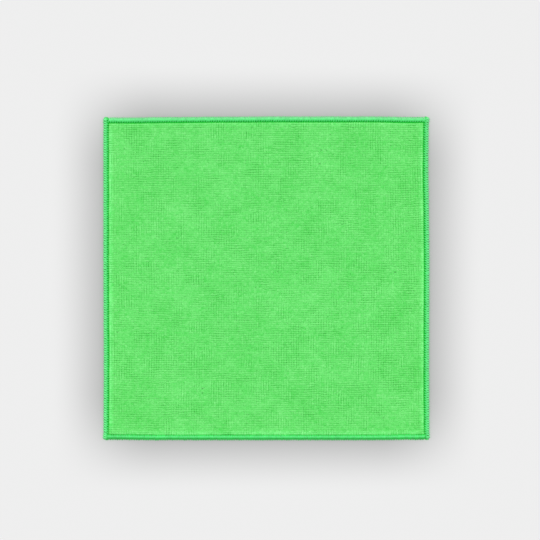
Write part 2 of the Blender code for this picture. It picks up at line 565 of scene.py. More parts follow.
class NodeBench:
    """A material's node tree, with short calls to add and join nodes."""

    def __init__(self, name: str) -> None:
        """Start a material of that name with its shader.

        Args:
            name: the material's name.
        """
        self.material = bpy.data.materials.new(name)
        self.material.use_nodes = True
        self.tree = self.material.node_tree
        self.shader = self.tree.nodes["Principled BSDF"]

    def add(self, kind: str, settings: dict | None = None, **inputs) -> bpy.types.Node:
        """Add a node.

        Args:
            kind: the node's type.
            settings: properties of the node by name.
            inputs: what each input takes, a socket or a value, by the input's name with
                spaces as underscores, or by i and the input's number.

        Returns:
            The node.
        """
        node = self.tree.nodes.new(kind)
        for key, value in (settings or {}).items():
            setattr(node, key, value)
        for key, value in inputs.items():
            named = key.replace("_", " ")
            target = node.inputs[int(key[1:])] if key[1:].isdigit() else node.inputs[named]
            self.feed(target, value)
        return node

    def feed(self, target: bpy.types.NodeSocket, value: object) -> None:
        """Join a socket to an input, or set the input's value.

        Args:
            target: the input.
            value: a socket, or a value for the input itself.
        """
        if isinstance(value, bpy.types.NodeSocket):
            self.tree.links.new(value, target)
        else:
            target.default_value = value

    def maths(self, operation: str, first: object, second: object) -> bpy.types.NodeSocket:
        """Join two values by a sum.

        Args:
            operation: the sum's name.
            first: a socket or a number.
            second: a socket or a number.

        Returns:
            The result's socket.
        """
        node = self.add("ShaderNodeMath", {"operation": operation}, i0=first, i1=second)
        return node.outputs[0]

    def product(self, *factors: bpy.types.NodeSocket) -> bpy.types.NodeSocket:
        """Multiply values by each other.

        Args:
            factors: their sockets.

        Returns:
            The product's socket.
        """
        result = factors[0]
        for factor in factors[1:]:
            result = self.maths("MULTIPLY", result, factor)
        return result

    def noise(self, places: bpy.types.NodeSocket, pattern: Pattern) -> bpy.types.NodeSocket:
        """Noise at some places.

        Args:
            places: the coordinates to read it at.
            pattern: how fine it is.

        Returns:
            The socket of its value, around one half.
        """
        scale, detail = pattern.waves, pattern.detail
        node = self.add("ShaderNodeTexNoise", Vector=places, Scale=scale, Detail=detail)
        return node.outputs["Fac"]

    def tones(self, noise: bpy.types.NodeSocket, pattern: Pattern) -> bpy.types.NodeSocket:
        """The factor by which a noise makes a colour darker or lighter."""
        return self.spread(noise, pattern.darkest, pattern.lightest)

    def stretched(self, places: bpy.types.NodeSocket, scale: tuple) -> bpy.types.NodeSocket:
        """Coordinates scaled by axis, for a pattern that is longer one way."""
        return self.add("ShaderNodeMapping", Vector=places, Scale=scale).outputs[0]

    def blend(self, share: object, low: object, high: object) -> bpy.types.NodeSocket:
        """Mix two colours.

        Args:
            share: how much of the second colour there is.
            low: the first colour or its socket.
            high: the second colour or its socket.

        Returns:
            The mixed colour's socket.
        """
        node = self.add("ShaderNodeMix", {"data_type": "RGBA"}, i0=share, i6=low, i7=high)
        return node.outputs[2]

    def spread(self, value: object, low: float, high: float) -> bpy.types.NodeSocket:
        """Carry a value from 0 to 1 over to another range."""
        node = self.add("ShaderNodeMapRange", Value=value, To_Min=low, To_Max=high)
        return node.outputs[0]

    def shaded(self, colour: object, factor: object) -> bpy.types.NodeSocket:
        """A colour made lighter or darker by a factor."""
        node = self.add("ShaderNodeVectorMath", {"operation": "SCALE"}, i0=colour, Scale=factor)
        return node.outputs[0]

    def deepened(self, colour: object, factor: object, shares: tuple) -> bpy.types.NodeSocket:
        """A colour made lighter or darker, and its darks richer.

        Args:
            colour: the colour or its socket.
            factor: how light it gets, around one.
            shares: how strongly each channel follows the factor.

        Returns:
            The colour's socket.
        """
        rest = tuple(1.0 - share for share in shares)
        factors = self.add(
            "ShaderNodeVectorMath", {"operation": "MULTIPLY_ADD"}, i0=factor, i1=shares, i2=rest
        )
        node = self.add(
            "ShaderNodeVectorMath", {"operation": "MULTIPLY"}, i0=colour, i1=factors.outputs[0]
        )
        return node.outputs[0]

    def attribute(self, name: str) -> bpy.types.NodeSocket:
        """A number stored on the vertices."""
        return self.add("ShaderNodeAttribute", {"attribute_name": name}).outputs["Fac"]

    def finish(self, **inputs) -> bpy.types.Material:
        """Feed the shader, which ends the material.

        Args:
            inputs: what each input of the shader takes, a socket or a value, by the
                input's name with spaces as underscores.

        Returns:
            The material.
        """
        for name, value in inputs.items():
            self.feed(self.shader.inputs[name.replace("_", " ")], value)
        return self.material


@dataclass(frozen=True)
class PileFinish:
    """Matt looped microfibre, uneven in soft blotches, with painted shade in its gaps and a painted
    highlight.
    """

    crest: tuple = (0.162, 0.744, 0.172, 1.0)
    # painted shade: the deeper green mixed in between the tufts and rows
    hollow: tuple = (0.060, 0.570, 0.070, 1.0)
    # painted highlight: paler green on the pile beside the seam
    seam_highlight: tuple = (0.210, 0.895, 0.245, 1.0)
    # painted shade in the groove and under the threads
    pressed: tuple = (0.003, 0.580, 0.032, 1.0)
    channel_shares: tuple = (2.4, 0.72, 2.15)
    roughness: float = 0.95
    shine: float = 0.15
    sheen: float = 0.15
    sheen_roughness: float = 0.6
    sheen_tint: tuple = (0.55, 1.0, 0.55, 1.0)
    blotch: Pattern = Pattern(waves=30.0, detail=2.0, darkest=0.875, lightest=1.125)
    patch: Pattern = Pattern(waves=1000.0, detail=1.0, darkest=0.83, lightest=1.17)
    streak: Pattern = Pattern(waves=480.0, detail=1.0, darkest=0.93, lightest=1.07)
    streak_stretch: tuple = (0.12, 1.0, 1.0)
    fibre: Pattern = Pattern(waves=4200.0, detail=3.0, darkest=0.90, lightest=1.10)
    fibre_depth: float = 0.00006
    tuft_tones: tuple = (0.87, 1.14)
    loop_waves: float = 1500.0
    # painted shade between the loops: darker where the loop bump is lower
    loop_shade_tones: tuple = (0.86, 1.07)
    loop_depth: float = 0.00018

    def build(self) -> bpy.types.Material:
        """The material.

        Returns:
            The finished material.
        """
        bench = NodeBench("pile_knit")
        places = bench.add("ShaderNodeTexCoord").outputs["Object"]
        along_rows = bench.stretched(places, self.streak_stretch)
        fibre = bench.noise(places, self.fibre)
        cells = bench.add("ShaderNodeTexVoronoi", Vector=places, Scale=self.loop_waves)
        loops = bench.maths("SUBTRACT", 1.0, cells.outputs["Distance"])
        tone = bench.product(
            bench.tones(bench.noise(places, self.blotch), self.blotch),
            bench.tones(bench.noise(places, self.patch), self.patch),
            bench.tones(bench.noise(along_rows, self.streak), self.streak),
            bench.spread(bench.attribute("shade"), *self.tuft_tones),
            bench.tones(fibre, self.fibre),
            # painted shade between the loops
            bench.spread(loops, *self.loop_shade_tones),
        )
        # painted highlight on the pile beside the seam
        crest = bench.blend(bench.attribute("seam"), self.crest, self.seam_highlight)
        # painted shade between the tufts and rows
        green = bench.blend(bench.attribute("depth"), crest, self.hollow)
        # painted shade in the groove beside the edging and under the threads
        green = bench.blend(bench.attribute("pressed"), green, self.pressed)
        coarse = bench.add("ShaderNodeBump", Height=loops, Distance=self.loop_depth)
        fine = bench.add(
            "ShaderNodeBump", Height=fibre, Distance=self.fibre_depth, Normal=coarse.outputs[0]
        )
        return bench.finish(
            Base_Color=bench.deepened(green, tone, self.channel_shares),
            Normal=fine.outputs[0],
            Roughness=self.roughness,
            Specular_IOR_Level=self.shine,
            Sheen_Weight=self.sheen,
            Sheen_Roughness=self.sheen_roughness,
            Sheen_Tint=self.sheen_tint,
        )


@dataclass(frozen=True)
class ThreadFinish:
    """Bulked overlock thread: mintier, with a soft lustre, filaments along the yarn, painted shade and
    painted sheen.
    """

    light: tuple = (0.140, 0.860, 0.275, 1.0)
    # painted shade: the deeper green mixed in where threads dive into the cloth, toward the groove and
    # on sides turned from the light
    dark: tuple = (0.003, 0.600, 0.045, 1.0)
    # painted sheen: paler, whitish thread toward the outer edge
    rim: tuple = (0.280, 0.660, 0.360, 1.0)
    # painted shade at the rim
    dark_rim: tuple = (0.060, 0.540, 0.130, 1.0)
    roughness: tuple = (0.5, 0.7)
    shine: float = 0.35
    sheen: float = 0.25
    sheen_roughness: float = 0.45
    sheen_tint: tuple = (0.6, 1.0, 0.7, 1.0)
    filaments: float = 7.0  # waves once round the thread
    filament_slant: float = 2.2  # waves by which they turn round it in a millimetre
    filament_stretch: float = 0.5  # waves to a millimetre along it
    filament: Pattern = Pattern(waves=1.0, detail=2.0, darkest=0.80, lightest=1.20)
    filament_depth: float = 0.00010
    filament_strength: float = 0.8
    patch: Pattern = Pattern(waves=300.0, detail=2.0, darkest=0.80, lightest=1.20)

    def build(self) -> bpy.types.Material:
        """The material.

        Returns:
            The finished material.
        """
        bench = NodeBench("edging_thread")
        unrolled = bench.add("ShaderNodeUVMap", {"uv_map": Yarn.MAP}).outputs[0]
        axes = bench.add("ShaderNodeSeparateXYZ", Vector=unrolled)
        around = bench.maths("MULTIPLY", axes.outputs["X"], self.filaments)
        slant = bench.maths("MULTIPLY", axes.outputs["Y"], self.filament_slant)
        drawn = bench.add(
            "ShaderNodeCombineXYZ",
            X=bench.maths("ADD", around, slant),
            Y=bench.maths("MULTIPLY", axes.outputs["Y"], self.filament_stretch),
        )
        filament = bench.noise(drawn.outputs[0], self.filament)
        places = bench.add("ShaderNodeTexCoord").outputs["Object"]
        tone = bench.product(
            bench.tones(filament, self.filament),
            bench.tones(bench.noise(places, self.patch), self.patch),
        )
        # painted sheen toward the outer edge of the edging
        rim = bench.attribute("rim")
        light = bench.blend(rim, self.light, self.rim)
        # painted shade mixed into the thread's colour
        dark = bench.blend(rim, self.dark, self.dark_rim)
        green = bench.blend(bench.attribute("depth"), light, dark)
        bump = bench.add(
            "ShaderNodeBump",
            Height=filament,
            Strength=self.filament_strength,
            Distance=self.filament_depth,
        )
        return bench.finish(
            Base_Color=bench.shaded(green, tone),
            Normal=bump.outputs[0],
            Roughness=bench.spread(filament, *self.roughness),
            Specular_IOR_Level=self.shine,
            Sheen_Weight=self.sheen,
            Sheen_Roughness=self.sheen_roughness,
            Sheen_Tint=self.sheen_tint,
        )


@dataclass(frozen=True)
class FloorFinish:
    """A pale plain floor with a wide soft shade round the cloth."""

    half_width: float
    half_length: float
    albedo: float = 0.735
    roughness: float = 0.95
    shine: float = 0.0
    plain_level: float = 239.0 / 255.0
    darkest_drop: float = 96.0 / 255.0
    shade_reach: float = 0.0505
    display_power: float = 2.2

    def build(self) -> bpy.types.Material:
        """The material.

        Returns:
            The finished material.
        """
        bench = NodeBench("pale_floor")
        places = bench.add("ShaderNodeTexCoord").outputs["Object"]
        axes = bench.add("ShaderNodeSeparateXYZ", Vector=places)
        near_side = self._near(bench, axes.outputs["X"], self.half_width)
        near_end = self._near(bench, axes.outputs["Y"], self.half_length)
        shade = bench.maths("MULTIPLY", near_side, near_end)
        drop = bench.maths("MULTIPLY", shade, self.darkest_drop / self.plain_level)
        level = bench.maths("SUBTRACT", 1.0, drop)
        light = bench.maths("POWER", level, self.display_power)
        grey = bench.shaded((self.albedo, self.albedo, self.albedo), light)
        return bench.finish(
            Base_Color=grey, Roughness=self.roughness, Specular_IOR_Level=self.shine
        )

    def _near(self, bench: NodeBench, place: bpy.types.NodeSocket, half: float) -> bpy.types.NodeSocket:
        """How near the cloth a place is along one axis, eased from 0 to 1.

        Args:
            bench: the material's bench.
            place: the socket of the place along the axis.
            half: the cloth's half size along it.

        Returns:
            The socket of the nearness.
        """
        away = bench.add("ShaderNodeMath", {"operation": "ABSOLUTE"}, i0=place).outputs[0]
        eased = bench.add(
            "ShaderNodeMapRange",
            {"interpolation_type": "SMOOTHSTEP"},
            Value=away,
            From_Min=half + self.shade_reach,
            From_Max=half - self.shade_reach,
        )
        return eased.outputs[0]


# ---------------------------------------------------------------- the cloth


@dataclass
class GroundSheet:
    """The ground knit: one thin closed sheet, its rim squeezed thin inside the edging."""

    outline: Outline
    surface: Surface
    upper_cell: float = 2.3 * MM
    under_cell: float = 1.9 * MM
    row_pitch: float = 2.07 * MM
    samples_per_row: int = 3
    under_relief: float = 0.30 * MM
    # painted shade on the bare ground between the tufts
    between_tufts_shade: float = 0.6
    # share of the painted groove shade beside the bottom edge, where the light falls into the groove
    bottom_pressed: float = 0.40
    rim_thickness: float = 0.30 * MM
    corner_reach: float = 4.60 * MM

    MIDDLE_SHADE = 0.5  # neither a light nor a dark tuft
    UNDER_SHADE = 0.8  # painted shade on the underside between its rows
    ROW_WAVER = 0.25  # share of a row's pitch by which the rows there waver
    WAVER = SoftNoise(5, wave_x=0.035, wave_y=0.02)
    PATCHINESS = 0.2  # share of the relief that comes and goes
    PATCHES = SoftNoise(6, wave_x=0.004, wave_y=0.003)

    @property
    def cut_size(self) -> tuple:
        """Width and length that the cloth was cut to."""
        cut = self.surface.stations[0].inset
        return 2 * (self.outline.half_width - cut), 2 * (self.outline.half_length - cut)

    def build(self, material: bpy.types.Material) -> bpy.types.Object:
        """Model the sheet and dress it.

        Args:
            material: the pile's finish.

        Returns:
            The piece.
        """
        upper = self._face("knit_ground", self.upper_cell, self.upper_cell, True)
        fine = self.row_pitch / self.samples_per_row
        under = self._face("knit_underside", self.under_cell, fine, False)
        sheet = self._close(upper, under)
        dress(sheet, material)
        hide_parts("cloth")
        report_piece(sheet)
        return sheet

    def _grid_lines(self, half: float, cell: float) -> np.ndarray:
        """Places of the grid's lines across the cloth.

        Args:
            half: half the cloth's size that way.
            cell: the widest that a cell may be.

        Returns:
            The places, from one cut edge to the other.
        """
        rim = half - np.array([station.inset for station in self.surface.stations])
        inner = rim[-1]
        cells = math.ceil(2 * inner / cell)
        middle = np.linspace(-inner, inner, cells + 1)[1:-1]
        return np.concatenate([-rim, middle, rim[::-1]])

    def _face(self, name: str, cell_x: float, cell_y: float, upper: bool) -> bpy.types.Object:
        """One face of the sheet, from a flat grid.

        Args:
            name: the object's name.
            cell_x: the widest that a cell may be in X.
            cell_y: the widest that a cell may be in Y.
            upper: whether it is the upper face.

        Returns:
            The face as an open mesh.
        """
        lines_x = self._grid_lines(self.outline.half_width, cell_x)
        lines_y = self._grid_lines(self.outline.half_length, cell_y)
        deselect_all()
        bpy.ops.mesh.primitive_grid_add(
            x_subdivisions=len(lines_x) - 1, y_subdivisions=len(lines_y) - 1, size=1.0
        )
        face = bpy.context.object
        face.name = name
        flat_x, flat_y = (axis.ravel() for axis in np.meshgrid(lines_x, lines_y))
        inset = self.outline.inset(flat_x, flat_y)
        flat_x, flat_y = self._rounded(flat_x, flat_y)
        x, y = self.outline.warp(flat_x, flat_y)
        turned = np.interp(
            self.outline.half_length + flat_y, self.surface.TURNED_INSETS, self.surface.TURNED_ROOF
        )
        if upper:
            height = np.minimum(self.surface.over(x, y, inset), turned)
            # painted shade on the ground between the tufts
            depth = np.full_like(height, self.between_tufts_shade)
            # painted groove shade, weaker beside the bottom edge
            bottom = self.outline.half_length + flat_y < self.surface.stations[-1].inset
            pressed = self.surface.pressed(inset) * np.where(bottom, self.bottom_pressed, 1.0)
        else:
            relief = self._under_relief(flat_x, flat_y)
            height = np.minimum(self.surface.under(inset) + relief, turned - self.rim_thickness)
            # painted shade on the underside between its rows
            depth = self.UNDER_SHADE * relief / self.under_relief
            pressed = np.zeros_like(height)
        move_vertices(face, np.column_stack([x, y, height]))
        shade = np.full_like(height, self.MIDDLE_SHADE)
        seam = np.zeros_like(height)
        keep_measures(face, depth=depth, shade=shade, seam=seam, pressed=pressed)
        if not upper:
            face.data.flip_normals()
        return face

    def _rounded(self, x: np.ndarray, y: np.ndarray) -> tuple:
        """Draw the corners in, so that they are round under the ends of the edging.

        Args:
            x: x of each place on the rectangle.
            y: y of each place on the rectangle.

        Returns:
            The x and the y of the places.
        """
        past_x = np.maximum(np.abs(x) - (self.outline.half_width - self.corner_reach), 0.0)
        past_y = np.maximum(np.abs(y) - (self.outline.half_length - self.corner_reach), 0.0)
        away = np.maximum(np.hypot(past_x, past_y), TINY)
        excess = np.where(away > TINY, 1.0 - np.maximum(past_x, past_y) / away, 0.0)
        return x - np.sign(x) * past_x * excess, y - np.sign(y) * past_y * excess

    def _under_relief(self, x: np.ndarray, y: np.ndarray) -> np.ndarray:
        """How far the underside's rows lie above the floor, their crests on it.

        Args:
            x: x of each place.
            y: y of each place.

        Returns:
            The heights, zero on the crests.
        """
        waver = self.ROW_WAVER * self.row_pitch * self.WAVER.at(x, y)
        rows = np.sin(np.pi * (y + waver) / self.row_pitch) ** 2
        patchy = 1.0 - self.PATCHINESS + self.PATCHINESS * self.PATCHES.at(x, y)
        inner = np.clip(self.outline.inset(x, y) / self.surface.stations[-1].inset, 0.0, 1.0)
        return self.under_relief * rows * patchy * inner**2

    @staticmethod
    def _close(upper: bpy.types.Object, under: bpy.types.Object) -> bpy.types.Object:
        """Join the two faces and bridge their rims.

        Args:
            upper: the upper face.
            under: the underside.

        Returns:
            The closed sheet.
        """
        take_up(upper, under)
        bpy.ops.object.join()
        sheet = bpy.context.object
        bpy.ops.object.mode_set(mode="EDIT")
        bpy.ops.mesh.select_mode(type="EDGE")
        bpy.ops.mesh.select_all(action="DESELECT")
        bpy.ops.mesh.select_non_manifold()
        bpy.ops.mesh.bridge_edge_loops()
        bpy.ops.mesh.select_all(action="SELECT")
        bpy.ops.mesh.normals_make_consistent(inside=False)
        bpy.ops.object.mode_set(mode="OBJECT")
        bpy.ops.object.shade_smooth()
        return sheet


@dataclass(frozen=True)
class Unevenness:
    """How far single tufts depart from an even grid, as standard deviations."""

    turn: float = 0.08
    size: float = 0.04
    height: float = 0.08
    tilts: tuple = (0.04, 0.045)
    shifts: tuple = (0.07 * MM, 0.06 * MM)
    lift: float = 0.028 * MM
    lump: float = 0.038 * MM
    tone: float = 0.14

    WIDEST = 2.2  # deviations at which a draw for a tuft is cut back
    WIDEST_LUMP = 2.0  # and one for a corner of a tuft

    def draw(self, draws: np.random.Generator, shape: tuple, spread: float) -> np.ndarray:
        """Draw one number for each tuft.

        Args:
            draws: the source of unevenness.
            shape: how many rows and columns of tufts there are.
            spread: the standard deviation.

        Returns:
            The numbers, around zero.
        """
        reach = self.WIDEST * spread
        return np.clip(draws.normal(0.0, spread, shape), -reach, reach)

    def lumps(self, draws: np.random.Generator, shape: tuple) -> np.ndarray:
        """Draw how far each corner of each tuft lies off its smooth place, by axis."""
        reach = self.WIDEST_LUMP * self.lump
        return np.clip(draws.normal(0.0, self.lump, shape), -reach, reach)


@dataclass
class LoopedPile:
    """The rows of looped tufts on the upper face, in bands from bottom to top."""

    outline: Outline
    surface: Surface
    row_pitch: float = 2.07 * MM
    column_pitch: float = 2.30 * MM
    side_inset: float = 6.52 * MM
    end_inset: float = 6.35 * MM
    lean_x: float = -0.065 * MM
    lean_y: float = -0.20 * MM
    bands: int = 4
    half_length: float = 1.46 * MM
    half_width: float = 1.30 * MM
    half_height: float = 0.46 * MM
    lift: float = 0.06 * MM
    uneven: Unevenness = Unevenness()
    # where the painted highlight beside the seam fades out, and the share of it lost beside the top
    # edge
    seam_start: float = 6.6 * MM
    seam_end: float = 9.6 * MM
    top_fade: float = 0.70
    seed: int = 11

    SIDE_FALL = 0.45  # share of a tuft's height lost at its two sides
    END_FALL = 0.50  # share of a tuft's height lost at its two ends
    SKIRT_SPREAD = 2.2  # how far the buried part is spread sideways
    SKIRT_DEPTH = 0.12 * MM
    UPRIGHT_SHARE = 0.99  # share of the half height that a cushion's top reaches the right way up
    BURIED_SHARE = -0.05  # share of the half height below which its points are the skirt
    PLOT_MARGIN = 0.06  # share of a tuft's plot on the bake's map that is free at each side

    ROW_GAPS = SoftNoise(21, wave_x=9.0 * MM, wave_y=7.0 * MM)
    ROW_SWING = 0.85  # how strongly the gaps between rows come and go
    ROW_MEAN = 0.50
    COLUMN_GAPS = SoftNoise(22, wave_x=7.0 * MM, wave_y=11.0 * MM)
    COLUMN_SWING = 1.5
    COLUMN_MEAN = 0.05
    COLUMN_LOSS = 0.45  # share of the gaps between columns lost where those between rows show
    FULL_SIZES = (1.11, 1.12, 0.70)  # a tuft's size by axis where no gap shows beside it
    GAP_SIZES = (-0.17, -0.17, 0.45)  # and what a gap adds to it
    TURNS = SoftNoise(23, wave_x=30.0 * MM, wave_y=24.0 * MM)
    TURN_SWING = 0.10
    SIDE_DRIFTS = SoftNoise(25, wave_x=20.0 * MM, wave_y=14.0 * MM)
    SIDE_DRIFT = 0.40 * MM
    DRIFTS = SoftNoise(24, wave_x=40.0 * MM, wave_y=30.0 * MM)
    DRIFT = 0.45  # millimetres by which rows wander up and down
    SHORT_DRIFTS = SoftNoise(26, wave_x=6.0 * MM, wave_y=8.0 * MM)
    SHORT_DRIFT = 0.42
    DRIFT_START = 4.0 * MM  # how far in from the outermost tufts they drift fully
    TONE_MIDDLE = 0.5
    GAP_TONE = 0.30  # how much lighter tufts are painted where gaps show, against the painted shade there
    GAP_MEAN = 0.66  # what the two gaps come to on average

    def build(self, material: bpy.types.Material) -> list:
        """Model every band of tufts.

        Args:
            material: the pile's finish.

        Returns:
            The bands.
        """
        flat_x = self._centres(self.outline.half_width - self.side_inset, self.column_pitch)
        flat_y = self._centres(self.outline.half_length - self.end_inset, self.row_pitch)
        draws = np.random.default_rng(self.seed)
        pieces = []
        for number, rows in enumerate(np.array_split(flat_y, self.bands), start=1):
            band = self._band(f"pile_band_{number}", flat_x, rows, draws)
            dress(band, material)
            report_piece(band)
            pieces.append(band)
        return pieces

    @staticmethod
    def _centres(reach: float, pitch: float) -> np.ndarray:
        """Evenly spaced centres of the tufts across the cloth.

        Args:
            reach: how far the outermost ones are from the middle.
            pitch: about how far apart they are.

        Returns:
            The centres.
        """
        return np.linspace(-reach, reach, round(2 * reach / pitch) + 1)

    def _tuft(self) -> bpy.types.Object:
        """Model one tuft: a low lying cushion of loops over a wider buried skirt.

        Returns:
            The tuft, with its middle at the origin.
        """
        deselect_all()
        bpy.ops.mesh.primitive_uv_sphere_add(segments=5, ring_count=4, radius=1.0)
        tuft = bpy.context.object
        bpy.ops.object.mode_set(mode="EDIT")
        bpy.ops.transform.rotate(
            value=math.pi / 2, orient_axis="Y", center_override=(0.0, 0.0, 0.0)
        )
        bpy.ops.transform.resize(
            value=(self.half_length, self.half_width, self.half_height),
            center_override=(0.0, 0.0, 0.0),
        )
        bpy.ops.object.mode_set(mode="OBJECT")
        places = vertex_places(tuft)
        if places[:, 2].max() < self.half_height * self.UPRIGHT_SHARE:
            places[:, 2] *= -1.0
            tuft.data.flip_normals()
        end = (places[:, 0] / self.half_length) ** 2
        side = (places[:, 1] / self.half_width) ** 2
        dome = self.half_height * (1.0 - self.END_FALL * end - self.SIDE_FALL * side)
        buried = places[:, 2] < self.BURIED_SHARE * self.half_height
        places[:, 2] = np.where(buried, -self.SKIRT_DEPTH, dome)
        places[buried, 1] *= self.SKIRT_SPREAD
        move_vertices(tuft, places)
        return tuft

    def _band(
        self, name: str, flat_x: np.ndarray, flat_y: np.ndarray, draws: np.random.Generator
    ) -> bpy.types.Object:
        """A block of rows of tufts, each tuft settled unevenly on the ground.

        Args:
            name: the piece's name.
            flat_x: the columns' centres.
            flat_y: the rows' centres.
            draws: the source of unevenness.

        Returns:
            The band.
        """
        tuft = self._tuft()
        corners = len(tuft.data.vertices)
        step_x, step_y = flat_x[1] - flat_x[0], flat_y[1] - flat_y[0]
        repeat(tuft, len(flat_x), Vector((step_x, 0.0, 0.0)))
        repeat(tuft, len(flat_y), Vector((0.0, step_y, 0.0)))
        tuft.name = name
        shape = (len(flat_y), len(flat_x), corners)
        places = vertex_places(tuft).reshape(*shape, 3)
        places[..., 0] -= (np.arange(len(flat_x)) * step_x)[None, :, None]
        places[..., 1] -= (np.arange(len(flat_y)) * step_y)[:, None, None]
        centre_x, centre_y = np.meshgrid(flat_x, flat_y)
        settled, measures = self._settle(places, centre_x, centre_y, draws)
        move_vertices(tuft, settled.reshape(-1, 3))
        keep_measures(tuft, **measures)
        self._lay_out(tuft, len(flat_x) * len(flat_y))
        take_up(tuft)
        bpy.ops.object.shade_smooth()
        return tuft

    def _lay_out(self, band: bpy.types.Object, count: int) -> None:
        """Give each tuft its own square plot on the map that textures are baked through.

        Args:
            band: the band of tufts.
            count: how many tufts it has.
        """
        across = math.ceil(math.sqrt(count))
        number = np.arange(count)
        plots = np.stack([number % across, number // across], axis=-1)[:, None, :]
        unrolled = map_places(band).reshape(count, -1, 2)
        inside = self.PLOT_MARGIN + (1.0 - 2.0 * self.PLOT_MARGIN) * unrolled
        band.data.uv_layers[0].name = BAKE_MAP
        keep_map(band, BAKE_MAP, (plots + inside) / across)

    def _settle(
        self,
        local: np.ndarray,
        centre_x: np.ndarray,
        centre_y: np.ndarray,
        draws: np.random.Generator,
    ) -> tuple:
        """Turn, size, tilt and shift each tuft a little, and set it on the ground.

        Args:
            local: places of the tufts' corners about their own middles.
            centre_x: x of each middle on the rectangle.
            centre_y: y of each middle on the rectangle.
            draws: the source of unevenness.

        Returns:
            The corners' places on the cloth, and by name what the material reads at
            each: the painted shade in the gaps, how near the seam and how light the tuft.
        """
        rows, columns = self._gaps(centre_x, centre_y)
        lie = self._lie(centre_x, centre_y, rows, columns, draws)
        lumps = self.uneven.lumps(draws, local.shape)
        x_local, y_local, z_local = (
            local[..., axis] * lie.sizes[axis][..., None] + lumps[..., axis] for axis in range(3)
        )
        tilt_x, tilt_y = lie.tilts
        z_local = z_local + tilt_x[..., None] * x_local + tilt_y[..., None] * y_local
        cosine, sine = np.cos(lie.turn)[..., None], np.sin(lie.turn)[..., None]
        shift_x, shift_y = lie.shifts
        flat_x = (centre_x + shift_x)[..., None] + cosine * x_local - sine * y_local
        flat_y = (centre_y + shift_y)[..., None] + sine * x_local + cosine * y_local
        x, y = self.outline.warp(flat_x, flat_y)
        inset = self.outline.inset(flat_x, flat_y)
        height = self.surface.over(x, y, inset) + z_local + lie.lift[..., None]
        tone = self.uneven.draw(draws, rows.shape, self.uneven.tone) + self.TONE_MIDDLE
        tone = tone + self.GAP_TONE * (rows + columns - self.GAP_MEAN)
        measures = {
            "depth": self._depth(local, rows, columns),
            "seam": self._seam(inset, flat_y),
            "shade": np.clip(tone, 0.0, 1.0)[..., None] * np.ones_like(inset),
        }
        return np.stack([x, y, height], axis=-1), measures

    def _gaps(self, x: np.ndarray, y: np.ndarray) -> tuple:
        """How strongly rows and columns show, each from 0 to 1.

        Args:
            x: x of each tuft's middle.
            y: y of each tuft's middle.

        Returns:
            How deep the gap between rows is at each tuft, and that between columns.
        """
        rows = np.clip(self.ROW_MEAN + self.ROW_SWING * self.ROW_GAPS.at(x, y), 0.0, 1.0)
        columns = self.COLUMN_SWING * self.COLUMN_GAPS.at(x, y) + self.COLUMN_MEAN
        return rows, np.clip(columns, 0.0, 1.0) * (1.0 - self.COLUMN_LOSS * rows)

    def _lie(
        self,
        x: np.ndarray,
        y: np.ndarray,
        rows: np.ndarray,
        columns: np.ndarray,
        draws: np.random.Generator,
    ) -> TuftLie:
        """How each tuft is turned, sized, tilted, shifted and lifted.

        Args:
            x: x of each tuft's middle.
            y: y of each tuft's middle.
            rows: how deep the gap between rows is there.
            columns: how deep the gap between columns is there.
            draws: the source of unevenness.

        Returns:
            How the tufts lie.
        """
        uneven = self.uneven
        draw = partial(uneven.draw, draws, x.shape)
        turn = draw(uneven.turn) + self.TURN_SWING * self.TURNS.at(x, y)
        gaps = (columns, rows, np.maximum(rows, columns))
        spreads = (uneven.size, uneven.size, uneven.height)
        sizes = tuple(
            full + change * gap + draw(spread)
            for full, change, gap, spread in zip(self.FULL_SIZES, self.GAP_SIZES, gaps, spreads)
        )
        tilts = tuple(draw(spread) for spread in uneven.tilts)
        shift_x = draw(uneven.shifts[0]) + self.SIDE_DRIFT * self.SIDE_DRIFTS.at(x, y)
        drift = self.DRIFT * self.DRIFTS.at(x, y) + self.SHORT_DRIFT * self.SHORT_DRIFTS.at(x, y)
        shift_y = draw(uneven.shifts[1]) + MM * drift
        lift = self.lift + draw(uneven.lift)
        inner = np.clip((self.outline.inset(x, y) - self.end_inset) / self.DRIFT_START, 0.0, 1.0)
        shifts = (shift_x * inner + self.lean_x, shift_y * inner + self.lean_y)
        return TuftLie(turn, sizes, tilts, shifts, lift)

    def _depth(self, local: np.ndarray, rows: np.ndarray, columns: np.ndarray) -> np.ndarray:
        """Painted shade at each corner, by how deep in the pile it lies, darkest in the gaps.

        Args:
            local: places of the tufts' corners about their own middles.
            rows: how deep the gap between rows is at each tuft.
            columns: how deep the gap between columns is there.

        Returns:
            The painted shade, from 0 to 1.
        """
        end = (local[..., 0] / self.half_length) ** 2
        side = np.minimum((local[..., 1] / self.half_width) ** 2, 1.0)
        depth = columns[..., None] * end + rows[..., None] * side
        buried = np.maximum(rows, columns)[..., None] * np.ones_like(end)
        return np.where(local[..., 2] < 0.0, buried, np.clip(depth, 0.0, 1.0))

    def _seam(self, inset: np.ndarray, flat_y: np.ndarray) -> np.ndarray:
        """How near the edging each corner lies, less so beside the top edge, which sets the painted
        highlight beside the seam.

        Args:
            inset: distances from the nearest edge.
            flat_y: y on the rectangle.

        Returns:
            The nearness, from 0 to 1.
        """
        near = Fade(self.seam_start, self.seam_end).at(inset)
        seam = near * near * (3.0 - 2.0 * near)
        from_top = self.outline.half_length - flat_y
        return seam * (1.0 - Fade(self.seam_start, 2 * self.seam_start, self.top_fade).at(from_top))


# ---------------------------------------------------------------- the edging


